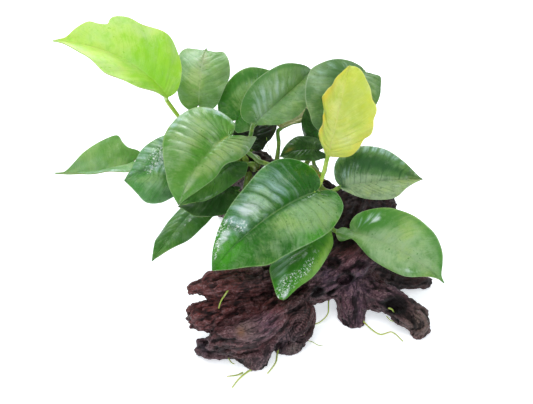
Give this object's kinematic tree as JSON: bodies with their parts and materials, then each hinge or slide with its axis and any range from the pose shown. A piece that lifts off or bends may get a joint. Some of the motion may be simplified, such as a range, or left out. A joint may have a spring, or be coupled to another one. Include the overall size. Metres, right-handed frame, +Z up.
{
  "type": "anubias barteri on driftwood",
  "caption": "Broad-leaved water plant with heart-shaped leaves on arching stalks, creeping over a dark forked piece of driftwood that stands on its own feet.",
  "frame": {"origin": "on the ground, under the middle of the whole object seen from above", "axes": "+X to the right of the pictured side, +Y away from that side, +Z up; the wood's feet stand on Z = 0"},
  "size_m": [0.2714, 0.1972, 0.1969],
  "materials": {
    "leaf": "gloss",
    "young_leaf": "satin",
    "old_leaf": "satin",
    "stalk": "satin",
    "rhizome": "matte",
    "driftwood": "matte",
    "root": "matte"
  },
  "bodies": {
    "root": {"leaf_blade_01": "young_leaf", "leaf_blade_02": "leaf", "leaf_blade_03": "leaf", "leaf_blade_04": "leaf", "leaf_blade_05": "leaf", "leaf_blade_06": "leaf", "leaf_blade_07": "leaf", "leaf_blade_08": "leaf", "leaf_blade_09": "old_leaf", "leaf_blade_10": "leaf", "leaf_blade_11": "leaf", "leaf_blade_12": "leaf", "leaf_blade_13": "leaf", "leaf_blade_14": "leaf", "leaf_blade_15": "leaf", "leaf_blade_16": "leaf", "leaf_blade_17": "leaf", "leaf_blade_18": "leaf", "leaf_blade_19": "leaf", "leaf_blade_20": "leaf", "leaf_stalk_01": "stalk", "leaf_stalk_02": "stalk", "leaf_stalk_03": "stalk", "leaf_stalk_04": "stalk", "leaf_stalk_05": "stalk", "leaf_stalk_06": "stalk", "leaf_stalk_07": "stalk", "leaf_stalk_08": "stalk", "leaf_stalk_09": "stalk", "leaf_stalk_10": "stalk", "leaf_stalk_11": "stalk", "leaf_stalk_12": "stalk", "leaf_stalk_13": "stalk", "leaf_stalk_14": "stalk", "leaf_stalk_15": "stalk", "leaf_stalk_16": "stalk", "leaf_stalk_17": "stalk", "leaf_stalk_18": "stalk", "leaf_stalk_19": "stalk", "leaf_stalk_20": "stalk", "rhizome": "rhizome", "wood_trunk": "driftwood", "wood_arm_upper": "driftwood", "wood_arm_lower": "driftwood", "wood_bulge": "driftwood", "wood_foot_front": "driftwood", "wood_foot_left": "driftwood", "wood_foot_middle": "driftwood", "wood_foot_right": "driftwood", "wood_leg_right": "driftwood", "wood_arm_right": "driftwood", "wood_limb_back": "driftwood", "wood_leg_back": "driftwood", "root_1": "root", "root_2": "root", "root_3": "root", "root_4": "root", "root_5": "root", "root_6": "root"}
  },
  "joints": []
}
